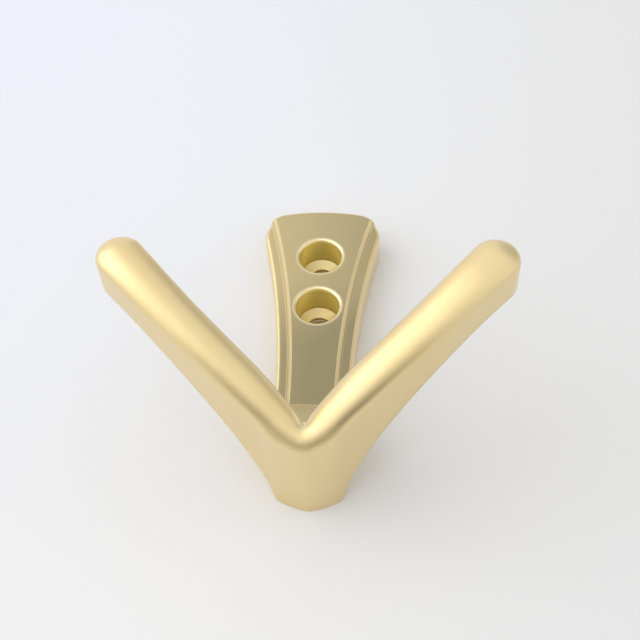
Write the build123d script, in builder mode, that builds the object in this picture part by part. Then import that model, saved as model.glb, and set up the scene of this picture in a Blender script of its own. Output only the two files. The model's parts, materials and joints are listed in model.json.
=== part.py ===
# Double wall hook: one cast piece with a flared backplate and a V of two arms.
#
# Frame, in millimetres: the wall is the plane Y = 0 and the hook stands off
# it towards -Y. Z runs up the wall, X across it. The origin lies on the back
# face, halfway between the two screw holes.
#
# "out" below means the distance off the wall: a point at out 7.5 has Y = -7.5.

import os
from math import atan, atan2, copysign, cos, degrees, exp, hypot, sin, sqrt

from build123d import *

# screw holes
hole_pitch = 11.8
screw_hole_d = 4.5
counterbore_d = 7.7
counterbore_depth = 5.6
seat_drop = 1.05
lip_r = 0.65

# backplate
rim_out = 6.3
panel_out = 7.5
plate_top_z = 17.55
plate_top_width = 24.0
plate_waist_width = 13.2
plate_flare_z = -27.4
plate_top_bow = 2.0
plate_corner_r = 4.8
rim_edge_r = 0.9

# raised panel
moulding_width = 2.85
panel_bed = 1.0
panel_foot_z = -27.4
riser_run = 0.9

# round foot under the crotch; the arms' outer side runs round it, proud of the plate's end
foot_z = -36.5
foot_turn_r = 3.65
foot_proud = 0.3

# V of arms: they leave the foot and swing out and forward
tip_x = 29.1
tip_z = -18.2
arm_bow = 3.3
root_width = 6.7
tip_width = 7.8
crotch_pinch = 1.7
crotch_reach = 0.35
ridge_out_root = 17.9
ridge_out_tip = 35.9
ridge_sweep = 6.5
under_out_tip = 29.2
under_sweep = 17.2
crown_root = 2.2
crown_tip = 1.5
tip_level = 0.6
level_from = 0.8
ridge_r = 1.6
crotch_blend = 0.02
under_ease = 0.5
neck_drop = 5.0
neck_run = 2.6
neck_floor = -2.0
arm_slices = 10

# web between the crotch and the panel
web_top_out = 16.6

# how far a cutting shape runs past what it cuts, and a box larger than the hook
overrun = 1.0
beyond = 200.0

wall = Plane.XZ

# the foot's radius follows from the arms' centreline turning round it
foot_r = foot_turn_r + root_width / 2


def lean_line(lean):
    """Start height and slope of an arm centreline that leaves at this lean."""
    start = foot_z - foot_turn_r / cos(lean)
    return start, tip_z - start - arm_bow


# lean of the arm where it leaves the foot, settled by a few rounds
lean = 0.6
for _ in range(12):
    lean = atan2(lean_line(lean)[1], tip_x)
start_z, slope_z = lean_line(lean)


# up to this share of its length an arm is turning round the foot
turn_s = foot_turn_r * sin(lean) / tip_x


def plan_angle(s):
    """Direction of the arms in the wall plane: s is 0 in the middle, 1 at the right tip."""
    if abs(s) < turn_s:
        return lean * s / turn_s
    return copysign(atan2(slope_z + 3 * arm_bow * s**2, tip_x), s)


def plan_point(s, across=0.0):
    """Point of the arms in the wall plane, measured across to their lower side."""
    a = plan_angle(s)
    if abs(s) < turn_s:
        return (foot_turn_r + across) * sin(a), foot_z - (foot_turn_r + across) * cos(a)
    t = abs(s)
    return (
        tip_x * s + across * sin(a),
        start_z + slope_z * t + arm_bow * t**3 - across * cos(a),
    )


def lower_width(s):
    return (root_width + (tip_width - root_width) * abs(s) ** 3) / 2


def upper_width(s):
    """The inner side draws in towards the crotch."""
    return lower_width(s) - crotch_pinch * max(0.0, 1 - abs(s) / crotch_reach) ** 2


def level_off(s):
    """Drop that brings the arm level by the time it reaches the tip."""
    return tip_level * max(0.0, (abs(s) - level_from) / (1 - level_from)) ** 2


def ridge_out(s):
    """Height off the wall of the line where flank and crown meet."""
    climb = ridge_out_tip - ridge_out_root + ridge_sweep
    return ridge_out_root + climb * hypot(s, crotch_blend) - ridge_sweep * s**2 - level_off(s)


def under_out(s):
    """Height off the wall of the underside, drawn down in a neck beside the foot."""
    t = abs(s)
    rise = (under_out_tip + under_sweep) * t - under_sweep * t**2
    neck = neck_drop * exp(-(tip_x * t - foot_r * sin(lean)) / neck_run)
    return max(rise - neck, neck_floor) - level_off(s)


def crown_rise(s):
    return crown_root + (crown_tip - crown_root) * abs(s)


def section_sizes(s):
    """Half width, height of the underside, radius and centre of the crown of a slice."""
    w = (lower_width(s) + upper_width(s)) / 2
    crown = crown_rise(s)
    ball = (w * w + crown * crown) / (2 * crown)
    return w, under_out(s), ball, ridge_out(s) + crown - ball


def section_plane(s):
    w = (lower_width(s) + upper_width(s)) / 2
    x, z = plan_point(s, lower_width(s) - w)
    nx, nz = sin(plan_angle(s)), -cos(plan_angle(s))
    return Plane(origin=(x, 0, z), x_dir=(nx, 0, nz), z_dir=(nz, 0, -nx))


def lower_side(s):
    """The lower half of a slice: eased under edge, upright flank and rolled ridge."""
    w, low, ball, mid = section_sizes(s)
    lift = sqrt((ball - ridge_r) ** 2 - (w - ridge_r) ** 2)
    tilt = degrees(atan2(lift, w - ridge_r))
    Polyline((w - under_ease, low), (w, low + under_ease), (w, mid + lift))
    CenterArc((w - ridge_r, mid + lift), ridge_r, 0, tilt)
    return ball, mid, tilt


def arm_section(s):
    """Slice across the arm: flat underside, upright flanks, crowned front."""
    with BuildSketch(section_plane(s)) as outline:
        with BuildLine() as side:
            ball, mid, tilt = lower_side(s)
            mirror(about=Plane.YZ)
            CenterArc((0, mid), ball, tilt, 180 - 2 * tilt)
            foot = side.vertices().sort_by(Axis.Y)[:2]
            Line(foot[0], foot[1])
        make_face()
    return outline.sketch


def tip_profile():
    """Half of the last slice up to the crown, closed on its centreline, to be turned into the tip."""
    with BuildSketch(section_plane(1.0)) as outline:
        with BuildLine() as side:
            ball, mid, tilt = lower_side(1.0)
            ends = side.vertices().sort_by(Axis.Y)
            Polyline(ends[-1], (0, ends[-1].Y), (0, ends[0].Y), ends[0])
        make_face()
    return outline.sketch


def flared_side(inset, run_on=0.0):
    """Right side line of the plate, moved in by inset: nearly straight, then flared to the top."""
    straight = Line(
        (foot_r - foot_proud - inset, foot_z),
        (plate_waist_width / 2 - inset, plate_flare_z),
    )
    flare = TangentArc(
        straight @ 1,
        (plate_top_width / 2 - inset, plate_top_z - plate_top_bow),
        tangent=straight % 1,
    )
    if run_on:
        Line(flare @ 1, flare @ 1 + (flare % 1) * run_on)


# the right arm, from the middle plane to its rounded tip
with BuildPart() as arm:
    slice_step = (1 - turn_s) / arm_slices
    add(arm_section(-turn_s - slice_step))
    add(arm_section(-turn_s))
    add(arm_section(0.0))
    for step in range(arm_slices + 1):
        add(arm_section(turn_s + slice_step * step))
    loft()
    w, low, ball_r, ball_out = section_sizes(1.0)
    tip = plan_point(1.0)
    with BuildPart(mode=Mode.PRIVATE) as tip_end:
        add(tip_profile())
        revolve(axis=Axis((tip[0], 0, tip[1]), (0, -1, 0)), revolution_arc=180)
    add(tip_end.part)
    # the crown of the tip is a cap cut from a ball
    with BuildPart(mode=Mode.PRIVATE) as cap:
        with Locations((tip[0], -ball_out, tip[1])):
            Sphere(ball_r)
        cap_edge = tip_end.faces().sort_by(Axis.Y)[0].center().Y
        with Locations((tip[0], cap_edge, tip[1])):
            Box(beyond, beyond, beyond, align=(Align.CENTER, Align.MIN, Align.CENTER), mode=Mode.SUBTRACT)
        split(bisect_by=section_plane(1.0), keep=Keep.BOTTOM)
    add(cap.part)
    # trim to the wall and to the middle plane
    Box(beyond, beyond, beyond, align=(Align.MIN, Align.MAX, Align.CENTER), mode=Mode.INTERSECT)

with BuildPart() as wall_hook:
    # backplate up to the rim of the moulding
    with BuildSketch(wall) as plate_outline:
        with BuildLine():
            flared_side(0)
            mirror(about=Plane.YZ)
            corner = Vector(plate_top_width / 2, plate_top_z - plate_top_bow)
            ThreePointArc(corner, (0, plate_top_z), (-corner.X, corner.Y))
            end_r = foot_r - foot_proud
            ThreePointArc((end_r, foot_z), (0, foot_z - end_r), (-end_r, foot_z))
        make_face()
        fillet(plate_outline.vertices().group_by(Axis.Y)[-1], plate_corner_r)
    extrude(amount=rim_out)
    fillet(wall_hook.faces().sort_by(Axis.Y)[0].edges(), rim_edge_r)
    # raised panel with its sloping riser and a soft top edge
    with BuildPart(mode=Mode.PRIVATE) as panel:
        riser_slope = riser_run / (panel_out - rim_out)
        panel_depth = panel_out - rim_out + panel_bed
        with BuildSketch(wall.offset(panel_out - panel_depth)):
            with BuildLine() as sides:
                flared_side(moulding_width - riser_slope * panel_depth, 2 * plate_corner_r)
                mirror(about=Plane.YZ)
                levels = sides.vertices().group_by(Axis.Y)
                Line(*levels[0])
                Line(*levels[-1])
            make_face()
        extrude(amount=panel_depth, taper=degrees(atan(riser_slope)))
        with BuildSketch(wall):
            add(plate_outline.sketch)
        extrude(amount=panel_out, mode=Mode.INTERSECT)
        fillet(panel.faces().sort_by(Axis.Y)[0].edges().group_by(Axis.Z)[-1], rim_edge_r)
    add(panel.part)
    # stem: the foot of the plate carried out to a web that slopes into the crotch
    with BuildPart(mode=Mode.PRIVATE) as stem:
        with BuildSketch(wall):
            add(plate_outline.sketch)
        extrude(amount=web_top_out)
        with BuildSketch(Plane.YZ):
            with BuildLine():
                Polyline(
                    (overrun, panel_foot_z),
                    (-panel_out, panel_foot_z),
                    (-web_top_out, foot_z),
                    (-web_top_out, foot_z - foot_r - overrun),
                    (overrun, foot_z - foot_r - overrun),
                    close=True,
                )
            make_face()
        extrude(amount=foot_r + overrun, both=True, mode=Mode.INTERSECT)
    add(stem.part)
    add(arm.part)
    mirror(arm.part, about=Plane.YZ)
    # two counterbored screw holes with rounded lips
    with BuildPart(mode=Mode.PRIVATE) as bore:
        with BuildSketch(Plane.XY):
            with BuildLine():
                seat = panel_out - counterbore_depth
                lip_in = counterbore_d / 2
                lip_out = lip_in + lip_r
                Polyline(
                    (0, overrun),
                    (screw_hole_d / 2, overrun),
                    (screw_hole_d / 2, -(seat - seat_drop)),
                    (lip_in, -seat),
                    (lip_in, -(panel_out - lip_r)),
                )
                ThreePointArc(
                    (lip_in, -(panel_out - lip_r)),
                    (lip_out - lip_r * sqrt(0.5), -(panel_out - lip_r + lip_r * sqrt(0.5))),
                    (lip_out, -panel_out),
                )
                Polyline(
                    (lip_out, -panel_out),
                    (lip_out, -(panel_out + overrun)),
                    (0, -(panel_out + overrun)),
                    (0, overrun),
                )
            make_face()
        revolve(axis=Axis.Y)
    with Locations((0, 0, hole_pitch / 2), (0, 0, -hole_pitch / 2)):
        add(bore.part, mode=Mode.SUBTRACT)

wall_hook.part.label = "wall_hook"
os.makedirs("parts", exist_ok=True)
export_step(wall_hook.part, "parts/wall_hook.step")
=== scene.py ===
# %% [markdown]
# # A cast wall hook in satin gold, lying on a pale table
#
# The hook is one casting: a backplate with two screw holes, a round foot, and a V of two arms.
# Its shape comes ready from the CAD model, to the real size. It could be modelled again here,
# but then the shape that is seen and the shape that is made would drift apart. So this lesson is
# about the finish, the table, the light and the camera. Everything is in metres, in the hook's
# own frame: the wall is the plane Y = 0, the hook stands off it towards -Y, and Z runs up the wall.

# %% Load the hook as a fixed frame
import json
import math

import bpy
import numpy as np
from mathutils import Matrix, Vector

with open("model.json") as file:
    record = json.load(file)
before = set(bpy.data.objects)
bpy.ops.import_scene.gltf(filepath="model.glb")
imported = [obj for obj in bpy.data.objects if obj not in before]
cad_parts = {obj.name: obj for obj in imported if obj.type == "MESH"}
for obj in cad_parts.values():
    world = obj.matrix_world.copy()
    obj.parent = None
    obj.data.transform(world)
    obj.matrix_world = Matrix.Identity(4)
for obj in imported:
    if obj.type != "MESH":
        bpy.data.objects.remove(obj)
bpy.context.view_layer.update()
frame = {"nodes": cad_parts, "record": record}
hook = frame["nodes"]["wall_hook"]

# %% [markdown]
# ## Where the screw holes are
#
# The finish changes from place to place: the bores are turned and shinier, and the flats of the
# plate are darker, a painted shade. Such places could be painted on an image, but that has to be
# unwrapped and saved. Here each place is worked out from a point's own coordinates. The screw holes
# are read from the packed record, so the finish follows them if they ever move. Their axes run
# straight out of the wall.

# %% Read the screw holes from the record
mm = 0.001
holes = next(m for m in frame["record"]["mounts"] if m["name"] == "screw_holes")
hole_pitch = holes["dims"]["spacing_y_mm"] * mm
hole_heights = [holes["pos_m"][2] + sign * hole_pitch / 2 for sign in (1, -1)]
bore_radius = 3.85 * mm
print("screw holes at heights", [round(z / mm, 2) for z in hole_heights], "mm")

# %% [markdown]
# ## Small helpers for node trees
#
# A material in Blender is a graph of nodes. It could be wired by hand in the Shader Editor, but a
# script can be read and run again. These helpers keep the later cells short: they add a node, link
# two sockets, make an empty node group and place a group in a tree.


# %% Node helpers
def add_node(tree, kind, **sockets):
    """Add a node and set some of its input sockets by name."""
    node = tree.nodes.new(kind)
    for name, value in sockets.items():
        node.inputs[name].default_value = value
    return node


def link(tree, out_socket, in_socket):
    """Join an output to an input."""
    tree.links.new(out_socket, in_socket)


def new_group(name, inputs, outputs):
    """An empty shader node group with (name, value) number inputs and named number outputs."""
    group = bpy.data.node_groups.new(name, "ShaderNodeTree")
    for label, value in inputs:
        socket = group.interface.new_socket(
            label, in_out="INPUT", socket_type="NodeSocketFloat"
        )
        socket.default_value = value
    for label in outputs:
        group.interface.new_socket(label, in_out="OUTPUT", socket_type="NodeSocketFloat")
    group.nodes.new("NodeGroupInput")
    group.nodes.new("NodeGroupOutput")
    return group


def send(group, **values):
    """Link sockets to the group's outputs of the same names, and print the group's sockets."""
    for name, socket in values.items():
        link(group, socket, group.nodes["Group Output"].inputs[name])
    print(group.name, "sockets:", [item.name for item in group.interface.items_tree])


def place_group(tree, group):
    """Put a node group into a tree."""
    node = tree.nodes.new("ShaderNodeGroup")
    node.node_tree = group
    return node


# %% [markdown]
# ## Helpers for values in a node tree
#
# A mask is a number over the surface: 1 where an effect is full, 0 where there is none. Masks are
# made of small sums. Each of these helpers adds the nodes for one sum and returns its output
# socket, so they can be written one inside the other, like ordinary arithmetic.


# %% Sums and steps as nodes
def calc(tree, operation, first, second=0.0, third=0.0):
    """One Math node: first (operation) second; each is a number or an output socket."""
    node = tree.nodes.new("ShaderNodeMath")
    node.operation = operation
    for socket, value in zip(node.inputs, (first, second, third)):
        if isinstance(value, (int, float)):
            socket.default_value = value
        else:
            tree.links.new(value, socket)
    return node.outputs["Value"]


def product(tree, first, *others):
    """All the masks multiplied: 1 only where each of them is 1."""
    for other in others:
        first = calc(tree, "MULTIPLY", first, other)
    return first


def soft_step(tree, value, low, high, start=0.0, end=1.0):
    """Goes from start to end, as 3t^2 - 2t^3, while value goes from low to high."""
    node = tree.nodes.new("ShaderNodeMapRange")
    node.interpolation_type = "SMOOTHSTEP"
    tree.links.new(value, node.inputs["Value"])
    limits = (("From Min", low), ("From Max", high), ("To Min", start), ("To Max", end))
    for name, number in limits:
        node.inputs[name].default_value = number
    return node.outputs["Result"]


def along(tree, vector, direction):
    """How far the vector points along a fixed direction: their dot product."""
    node = tree.nodes.new("ShaderNodeVectorMath")
    node.operation = "DOT_PRODUCT"
    tree.links.new(vector, node.inputs[0])
    node.inputs[1].default_value = direction
    return node.outputs["Value"]


# %% [markdown]
# ## Where a point lies
#
# Object coordinates stay with the object when it or the camera moves, so a pattern on them never
# slides. Two helpers read them: one gives a point's place, the other its distance from an axis
# that runs straight out of the wall.


# %% Places as nodes
def place_of_point(tree):
    """The shaded point's X, its distance off the wall, which is -Y, and its height Z."""
    split = tree.nodes.new("ShaderNodeSeparateXYZ")
    place = tree.nodes.new("ShaderNodeTexCoord").outputs["Object"]
    link(tree, place, split.inputs["Vector"])
    off_wall = calc(tree, "MULTIPLY", split.outputs["Y"], -1.0)
    return split.outputs["X"], off_wall, split.outputs["Z"]


def from_axis(tree, x, z, height):
    """Distance from an axis along Y at X = 0 and this height: sqrt(x^2 + (z - height)^2)."""
    rise = calc(tree, "SUBTRACT", z, height)
    square = calc(tree, "MULTIPLY", rise, rise)
    return calc(tree, "SQRT", calc(tree, "MULTIPLY_ADD", x, x, square))


# %% [markdown]
# ## The blasted grain
#
# A casting is tumbled or blasted before it is plated, which leaves a fine, even, orange-peel
# grain. It is far too small for geometry, so it becomes a bump: a noise of about a tenth of a
# millimetre tilts the surface a little. A second, broad noise makes the plating a little uneven.


# %% Group: grain and plating
def make_grain_group():
    """Noise in the object's own coordinates: fine height, and a broad patch value round 0."""
    group = new_group(
        "blasted_grain",
        [("Grain Scale", 7000.0), ("Patch Scale", 90.0)],
        ["Height", "Patches"],
    )
    given = group.nodes["Group Input"]
    place = group.nodes.new("ShaderNodeTexCoord").outputs["Object"]
    grain = add_node(group, "ShaderNodeTexNoise", Detail=3.0, Roughness=0.6)
    patch = add_node(group, "ShaderNodeTexNoise", Detail=2.0, Roughness=0.5)
    link(group, place, grain.inputs["Vector"])
    link(group, place, patch.inputs["Vector"])
    link(group, given.outputs["Grain Scale"], grain.inputs["Scale"])
    link(group, given.outputs["Patch Scale"], patch.inputs["Scale"])
    round_zero = calc(group, "SUBTRACT", patch.outputs["Fac"], 0.5)
    send(group, Height=grain.outputs["Fac"], Patches=round_zero)
    return group


grain_group = make_grain_group()

# %% [markdown]
# ## The bores
#
# On the real hook the screw holes were turned after casting, so their walls are smooth. The bright
# lip at the mouth is a painted highlight. A point is in a bore when it is nearer to one of the two
# axes than the counterbore's radius. The seat is the floor of the counterbore, close to the wall,
# and its mask carries a painted shade. The table uses the same group for the shade under the holes,
# so how far off the wall the mask starts is an input of the group.


# %% Group: bores
def make_bore_group():
    """Masks of the counterbores, of their seats and of the lips at their mouths."""
    group = new_group("bore_places", [("From Wall", 0.3 * mm)], ["Inside", "Seat", "Lip"])
    x, off_wall, z = place_of_point(group)
    upper, lower = (from_axis(group, x, z, height) for height in hole_heights)
    nearest = calc(group, "MINIMUM", upper, lower)
    start = group.nodes["Group Input"].outputs["From Wall"]
    inside = product(
        group,
        soft_step(group, nearest, bore_radius + 0.2 * mm, bore_radius),
        calc(group, "GREATER_THAN", off_wall, start),
    )
    seat = product(group, inside, soft_step(group, off_wall, 2.6 * mm, 2.0 * mm))
    past_lip = calc(group, "SUBTRACT", nearest, bore_radius + 0.4 * mm)
    near_lip = calc(group, "ABSOLUTE", past_lip)
    lip = product(
        group,
        soft_step(group, near_lip, 0.6 * mm, 0.0),
        soft_step(group, off_wall, 6.0 * mm, 6.5 * mm),
    )
    send(group, Inside=inside, Seat=seat, Lip=lip)
    return group


bore_group = make_bore_group()

# %% [markdown]
# ## Rubbed edges
#
# Handling polishes the edges of a real hook first, and cast and plated edges are never sharp.
# Geometry could be bevelled, but the hook's mesh is left alone. The Bevel node gives the normal
# that a rounded edge would have. Where it differs from the surface's own normal there is an edge,
# so one minus their dot product is a mask of edges. The rounded normal is handed out as well.


# %% Group: soft edges
def make_edge_group():
    """Edge mask from the angle between the rounded and the true normal, and the rounded normal."""
    group = new_group("soft_edges", [("Radius", 0.5 * mm)], ["Edge"])
    group.interface.new_socket("Normal", in_out="OUTPUT", socket_type="NodeSocketVector")
    bevel = group.nodes.new("ShaderNodeBevel")
    bevel.samples = 6
    link(group, group.nodes["Group Input"].outputs["Radius"], bevel.inputs["Radius"])
    flat = group.nodes.new("ShaderNodeNewGeometry").outputs["Normal"]
    agree = group.nodes.new("ShaderNodeVectorMath")
    agree.operation = "DOT_PRODUCT"
    link(group, bevel.outputs["Normal"], agree.inputs[0])
    link(group, flat, agree.inputs[1])
    turned = calc(group, "SUBTRACT", 1.0, agree.outputs["Value"])
    edge = soft_step(group, turned, 0.02, 0.25)
    send(group, Edge=edge, Normal=bevel.outputs["Normal"])
    return group


edge_group = make_edge_group()

# %% [markdown]
# ## The plate behind the arms
#
# The flats of the plate lie in the shelter of the V. They get a painted shade: a darker, olive tint
# for the shade and dark reflection that fall there, the more so towards the crotch and the right
# side, while the rolled rim and the slope of the moulding stay bright. The mask is a product of
# soft steps: facing straight off the wall, at the plate's own distance from the wall, and down the
# plate. The inner corner of the moulding has a mask for a thin line of painted shade, and the
# sloping web below the panel has one for painted light.

# %% Distances of the plate
terrace_out = 6.3 * mm
panel_out = 7.5 * mm
panel_foot = -27.35 * mm
straight_out = (0.0, -1.0, 0.0)
straight_up = (0.0, 0.0, 1.0)
print("panel stands", round((panel_out - terrace_out) / mm, 2), "mm above the terraces")


# %% Group: places on the plate
def make_plate_group():
    """Masks from position and normal: painted shade on the flats and in the moulding's inner
    corner, painted light on the sloping web.
    """
    group = new_group("plate_places", [], ["Dull", "Corner", "Web"])
    x, off_wall, z = place_of_point(group)
    normal = group.nodes.new("ShaderNodeNewGeometry").outputs["Normal"]
    above_web = soft_step(group, z, panel_foot - 0.15 * mm, panel_foot + 0.15 * mm)
    # The painted shade on the flats grows down the plate and towards the right side.
    down_plate = soft_step(group, z, 3.0 * mm, -17.0 * mm, 0.62, 1.0)
    shade_spread = calc(group, "MULTIPLY_ADD", x, 16.0, down_plate)
    painted_shade = product(
        group,
        above_web,
        soft_step(group, off_wall, panel_out + 1.0 * mm, panel_out + 0.3 * mm),
        soft_step(group, off_wall, terrace_out - 0.5 * mm, terrace_out - 0.2 * mm),
        soft_step(group, along(group, normal, straight_out), 0.90, 0.99),
        calc(group, "MINIMUM", shade_spread, 1.0),
    )
    # A thin line of painted shade along the moulding's inner corner.
    corner = product(
        group,
        above_web,
        soft_step(group, off_wall, terrace_out + 0.03 * mm, terrace_out + 0.15 * mm),
        soft_step(group, off_wall, terrace_out + 0.6 * mm, terrace_out + 0.2 * mm),
    )
    # The web gets a paler tint as painted light.
    web = product(
        group,
        soft_step(group, z, panel_foot + 0.15 * mm, panel_foot - 0.15 * mm),
        soft_step(group, off_wall, panel_out + 0.1 * mm, panel_out + 0.4 * mm),
        soft_step(group, off_wall, 16.5 * mm, 15.0 * mm),
        soft_step(group, along(group, normal, straight_up), 0.55, 0.70),
    )
    send(group, Dull=painted_shade, Corner=corner, Web=web)
    return group


plate_group = make_plate_group()

# %% [markdown]
# ## The arms, the crotch and the foot
#
# The rolled edges of the arms and of the foot are rounder than those of the plate, so these masks
# will widen the soft edges there. At the crotch a spot is made smoother and gets a painted
# highlight.


# %% Group: places on the arms
def make_arm_group():
    """Masks from position: the arms, a spot at the crotch of the V, and the round foot."""
    group = new_group("arm_places", [], ["Arms", "Crotch", "Foot"])
    x, off_wall, z = place_of_point(group)
    arms = soft_step(group, off_wall, 10.0 * mm, 16.0 * mm)
    crotch = product(
        group,
        soft_step(group, from_axis(group, x, z, -38.8 * mm), 2.6 * mm, 1.0 * mm),
        soft_step(group, off_wall, 15.5 * mm, 16.5 * mm),
    )
    foot = product(
        group,
        soft_step(group, z, -40.0 * mm, -41.5 * mm),
        soft_step(group, off_wall, 2.0 * mm, 5.0 * mm),
    )
    send(group, Arms=arms, Crotch=crotch, Foot=foot)
    return group


arm_group = make_arm_group()

# %% [markdown]
# ## Satin gold
#
# The hook is plated pale gold and lacquered over the grain. Metal has no colour of its own besides
# its reflection, so what matters is the tint and how blurred the reflection is. A Principled BSDF
# with Metallic 1 does both, and its Coat is the lacquer. The coat could be mixed in as a Glossy
# BSDF, but the Principled one keeps the sum of the light right and exports well. Values that are
# the same all over are set on the shader's own sockets.

# %% The satin gold material: start and masks
satin = bpy.data.materials.new("satin_gold")
satin.use_nodes = True
tree = satin.node_tree
metal = tree.nodes["Principled BSDF"]
lacquer = {"Coat Weight": 0.9, "Coat Roughness": 0.28, "Coat IOR": 1.5}
for name, value in {"Metallic": 1.0, **lacquer}.items():
    metal.inputs[name].default_value = value
grain = place_group(tree, grain_group)
bores = place_group(tree, bore_group)
plate = place_group(tree, plate_group)
arms = place_group(tree, arm_group)
edges = place_group(tree, edge_group)
print("lacquer:", lacquer)

# %% [markdown]
# ## The normal: round edges and grain
#
# Two things tilt the surface without moving it: the rounding of the edges, widest on the arms and
# the foot, and the grain as a very shallow bump on top. A mesh that fine would take millions of
# faces, and neither shows in the outline.

# %% Round edges and grain
plate_rounding = 0.22 * mm
arm_rounding = 1.2 * mm
foot_rounding = 2.0 * mm
radius = calc(tree, "MULTIPLY_ADD", arms.outputs["Arms"], arm_rounding, plate_rounding)
radius = calc(tree, "MULTIPLY_ADD", arms.outputs["Foot"], foot_rounding, radius)
link(tree, radius, edges.inputs["Radius"])
peel = add_node(tree, "ShaderNodeBump", Strength=0.12, Distance=0.04 * mm)
link(tree, grain.outputs["Height"], peel.inputs["Height"])
link(tree, edges.outputs["Normal"], peel.inputs["Normal"])
link(tree, peel.outputs["Normal"], metal.inputs["Normal"])
print("edges rounded by", plate_rounding / mm, "mm, and more on arms and foot")

# %% [markdown]
# ## The tint of the plating
#
# The plating swings a little between two golds, in broad soft patches. Then each place gets its own
# tint over it: a dark olive painted shade on the flats of the plate and in the moulding's corner, a
# deep yellow in the bores that is made lighter as painted light, a darker painted shade on their
# seats, a paler gold as painted light on the web, a paler gold where edges are rubbed, and a
# painted highlight on the lips and at the crotch. Blending tints by masks in one material keeps the
# hook one piece, where a material for each place would leave hard borders.


# %% Tints
def blend_colours(tree, mask, first, second):
    """Mix two colours; each is an (r, g, b, a) tuple or an output socket."""
    node = tree.nodes.new("ShaderNodeMix")
    node.data_type = "RGBA"
    link(tree, mask, node.inputs["Factor"])
    for socket, value in ((node.inputs[6], first), (node.inputs[7], second)):
        if isinstance(value, tuple):
            socket.default_value = value
        else:
            link(tree, value, socket)
    return node.outputs[2]


gold_tint = (0.86, 0.69, 0.36, 1.0)
warm_tint = (0.84, 0.66, 0.32, 1.0)
# A paler gold for worn edges, and for painted highlights.
rubbed_and_highlight_tint = (0.92, 0.78, 0.48, 1.0)
painted_shade_tint = (0.31, 0.26, 0.13, 1.0)
# The bore tint is the turned walls' deep yellow, made lighter as painted light; the seat tint is
# darker, a painted shade.
bore_tint_and_light = (1.0, 0.91, 0.42, 1.0)
seat_shade_tint = (0.76, 0.62, 0.31, 1.0)
web_light_tint = (0.96, 0.82, 0.49, 1.0)
uneven = calc(tree, "MULTIPLY_ADD", grain.outputs["Patches"], 2.0, 0.5)
colour = blend_colours(tree, uneven, gold_tint, warm_tint)
# A dark olive tint paints the shade on the flats and, more thinly, in the moulding's corner.
corner_shade = calc(tree, "MULTIPLY", plate.outputs["Corner"], 0.5)
plate_shade = calc(tree, "MAXIMUM", plate.outputs["Dull"], corner_shade)
colour = blend_colours(tree, plate_shade, colour, painted_shade_tint)
colour = blend_colours(tree, bores.outputs["Inside"], colour, bore_tint_and_light)
colour = blend_colours(tree, bores.outputs["Seat"], colour, seat_shade_tint)
# Painted light: a paler gold on the web.
colour = blend_colours(tree, plate.outputs["Web"], colour, web_light_tint)
worn_edge = calc(tree, "MULTIPLY", edges.outputs["Edge"], 0.6)
# The lip's paler tint is a painted highlight.
lip_highlight = calc(tree, "MULTIPLY", bores.outputs["Lip"], 0.7)
# The paler tint is wear on the edges and a painted highlight on the lips and at the crotch.
wear_and_highlight = calc(tree, "MAXIMUM", worn_edge, lip_highlight)
wear_and_highlight = calc(tree, "MAXIMUM", wear_and_highlight, arms.outputs["Crotch"])
link(tree, blend_colours(tree, wear_and_highlight, colour, rubbed_and_highlight_tint), metal.inputs["Base Color"])
print("gold tint", gold_tint[:3])

# %% [markdown]
# ## How blurred the reflection is
#
# Roughness 0.4 gives the soft, broad bands of a satin finish. It wanders a little with the patches
# of the plating, and each place adds or takes away some: rubbed places are smoother.

# %% Roughness
satin_roughness = 0.40
blurred = calc(tree, "MULTIPLY_ADD", grain.outputs["Patches"], 0.12, satin_roughness)
more_or_less = (
    (edges.outputs["Edge"], -0.10),
    (bores.outputs["Inside"], 0.08),
    (bores.outputs["Lip"], -0.16),
    (arms.outputs["Crotch"], -0.12),
)
for mask, amount in more_or_less:
    blurred = calc(tree, "MULTIPLY_ADD", mask, amount, blurred)
link(tree, blurred, metal.inputs["Roughness"])
hook.data.materials.clear()
hook.data.materials.append(satin)
print("satin gold has", len(tree.nodes), "nodes")

# %% [markdown]
# ## The table's shape
#
# The hook lies on its back on a pale table, which is the wall plane Y = 0 in this frame. A table
# for a picture is one large square, a hair behind the hook so that the two don't fight for the
# same place.

# %% The table
table_size = 3.0
table_gap = 0.05 * mm
corners = np.array([[-1, 0, -1], [1, 0, -1], [1, 0, 1], [-1, 0, 1]]) * table_size / 2
corners[:, 1] = table_gap
mesh = bpy.data.meshes.new("table")
mesh.from_pydata(corners.tolist(), [], [(0, 1, 2, 3)])
table = bpy.data.objects.new("table", mesh)
bpy.context.scene.collection.objects.link(table)
print("table faces", [round(v, 2) for v in mesh.polygons[0].normal])

# %% [markdown]
# ## The table's paint
#
# The paint is matt and nearly white. A little cooler at the far left and a little greyer at the
# right, it carries painted light and painted shade, as a large sheet of paper has under one window.
# Only the colour sets how white it looks, never more light. Under the screw holes it is dark, a
# painted shade, because little light gets down there.

# %% The pale paint
pale = bpy.data.materials.new("pale_table")
pale.use_nodes = True
tree = pale.node_tree
paint = tree.nodes["Principled BSDF"]
paint.inputs["Roughness"].default_value = 0.9
paint.inputs["Specular IOR Level"].default_value = 0.0
plain_paper = (0.805, 0.805, 0.812, 1.0)
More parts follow.
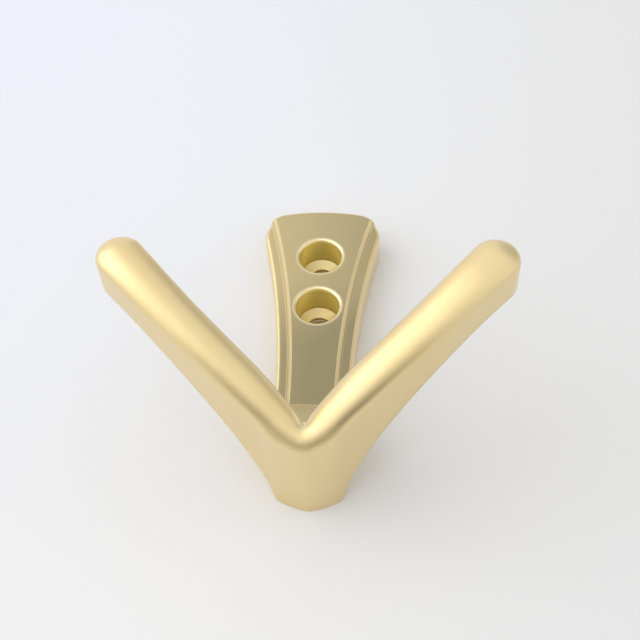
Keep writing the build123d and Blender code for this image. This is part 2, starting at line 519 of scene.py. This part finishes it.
# The cool tint is painted light at the far left, the grey one painted shade at the right.
painted_cool_light = (0.772, 0.792, 0.855, 1.0)
painted_dim_light = (0.74, 0.74, 0.742, 1.0)
hole_shade = (0.36, 0.30, 0.20, 1.0)
place = tree.nodes.new("ShaderNodeTexCoord").outputs["Object"]
far_left = soft_step(tree, along(tree, place, (-0.6, 0.0, 0.8)), -0.04, 0.10)
to_right = soft_step(tree, along(tree, place, (1.0, 0.0, 0.1)), -0.05, 0.09)
colour = blend_colours(tree, far_left, plain_paper, painted_cool_light)
colour = blend_colours(tree, to_right, colour, painted_dim_light)
under_holes = place_group(tree, bore_group)
under_holes.inputs["From Wall"].default_value = -1.0
colour = blend_colours(tree, under_holes.outputs["Inside"], colour, hole_shade)
link(tree, colour, paint.inputs["Base Color"])
mesh.materials.append(pale)
print("paper", plain_paper[:3])

# %% [markdown]
# ## Seeing the hook's back
#
# From behind, the table would hide the hook, so its back face is transparent. The hook's back also
# needs light: a ray that has only just left it is let through the table too, or that back would
# be black. The table could be hidden in those views, but then the script would have to know them.

# %% A table that is clear from behind
just_left = 0.3 * mm
behind = tree.nodes.new("ShaderNodeNewGeometry").outputs["Backfacing"]
ray_length = tree.nodes.new("ShaderNodeLightPath").outputs["Ray Length"]
touching = calc(tree, "LESS_THAN", ray_length, just_left)
clear = tree.nodes.new("ShaderNodeBsdfTransparent")
either = tree.nodes.new("ShaderNodeMixShader")
link(tree, calc(tree, "MAXIMUM", behind, touching), either.inputs["Fac"])
link(tree, paint.outputs["BSDF"], either.inputs[1])
link(tree, clear.outputs["BSDF"], either.inputs[2])
link(tree, either.outputs["Shader"], tree.nodes["Material Output"].inputs["Surface"])
print("table is clear from behind and within", just_left / mm, "mm")

# %% [markdown]
# ## The room
#
# A metal object shows the room more than the lamps. Satin metal is pictured in a light tent: white
# all round, brighter on the left and overhead where the light comes in, and darker at its far end,
# at its open near end where the camera stands, and underneath. A panorama image could be used, but
# the tent is simple enough to work out from the direction a ray leaves in: each region is a soft
# step on the angle to its middle. The camera sees the same tent as the metal does.

# %% The light tent as a world
tent_white = 0.935
tent_regions = {
    "lamp side": ((-0.696, -0.707, -0.123), 0.62, 0.92, 0.24),
    "overhead": ((-0.282, -0.899, -0.336), 0.82, 0.97, 0.30),
    "far end": ((0.629, -0.208, 0.749), 0.80, 0.97, -0.42),
    "near end": ((0.1, -0.05, -0.99), 0.77, 0.98, -0.68),
    "camera stand": ((-0.129, -0.375, -0.918), 0.85, 0.97, -0.34),
    "underneath": ((0.0, 1.0, 0.0), -0.1, 0.3, -0.30),
}
world = bpy.data.worlds.new("light_tent")
world.use_nodes = True
bpy.context.scene.world = world
tree = world.node_tree
room = tree.nodes["Background"]
room.inputs["Color"].default_value = (1.0, 1.0, 1.0, 1.0)
ray = tree.nodes.new("ShaderNodeTexCoord").outputs["Generated"]
glow = tent_white
for middle, outer, inner, amount in tent_regions.values():
    region = soft_step(tree, along(tree, ray, middle), outer, inner, 0.0, amount)
    glow = calc(tree, "ADD", region, glow)
link(tree, glow, room.inputs["Strength"])
print("tent regions:", list(tent_regions))

# %% [markdown]
# ## The big soft lamp
#
# One large area lamp stands on the left, above the table. Its size decides how broad the bright
# bands on the arms are, and how soft the shadow on the table is. A spot or a sun would draw hard
# thin lines instead. Its power is low, because the tent already gives most of the light.


# %% The lamp
def softbox(name, place, size, power):
    """A square area lamp at place, turned to face the hook."""
    lamp = bpy.data.lights.new(name, "AREA")
    lamp.shape = "SQUARE"
    lamp.size = size
    lamp.energy = power
    lamp_object = bpy.data.objects.new(name, lamp)
    lamp_object.location = place
    lamp_object.rotation_mode = "QUATERNION"
    lamp_object.rotation_quaternion = (-Vector(place)).to_track_quat("-Z", "Y")
    bpy.context.scene.collection.objects.link(lamp_object)
    print(name, "is", round(Vector(place).length, 2), "m away")


softbox("lamp_left", (-0.586, -0.535, 0.103), 0.7, 1.22)

# %% [markdown]
# ## The camera
#
# The picture looks down on the lying hook from its foot. The camera could be placed by eye, but
# angles round the aim point can be measured and corrected one by one: a turn about the line off
# the table, a rise above it, and a slight roll, as a hand-held camera has. The three axes of the
# camera, to its right, up and back, are the columns of its matrix.

# %% The camera
camera_turn = math.radians(5.796)
camera_rise = math.radians(52.373)
camera_roll = math.radians(-3.914)
camera_distance = 0.20655
camera_aim = Vector((0.00004, 0.0, -0.00349))
focal_in_pixels = 1100.0
frame_in_pixels = 640.0
sensor_width = 36.0
off_table = Vector((0, -1, 0))
back = Vector((
    math.cos(camera_rise) * math.sin(camera_turn),
    -math.sin(camera_rise),
    -math.cos(camera_rise) * math.cos(camera_turn),
))
level_right = off_table.cross(back).normalized()
level_up = back.cross(level_right)
right = math.cos(camera_roll) * level_right + math.sin(camera_roll) * level_up
up = back.cross(right)
camera_data = bpy.data.cameras.new("camera")
camera_data.sensor_width = sensor_width
camera_data.lens = sensor_width * focal_in_pixels / frame_in_pixels
camera_data.clip_start = 0.01
camera = bpy.data.objects.new("camera", camera_data)
camera.matrix_world = (
    Matrix.Translation(camera_aim + camera_distance * back)
    @ Matrix((right, up, back)).transposed().to_4x4()
)
bpy.context.scene.collection.objects.link(camera)
bpy.context.scene.camera = camera
bpy.context.scene.view_settings.view_transform = "Standard"
print("camera at", [round(v, 4) for v in camera.matrix_world.translation])
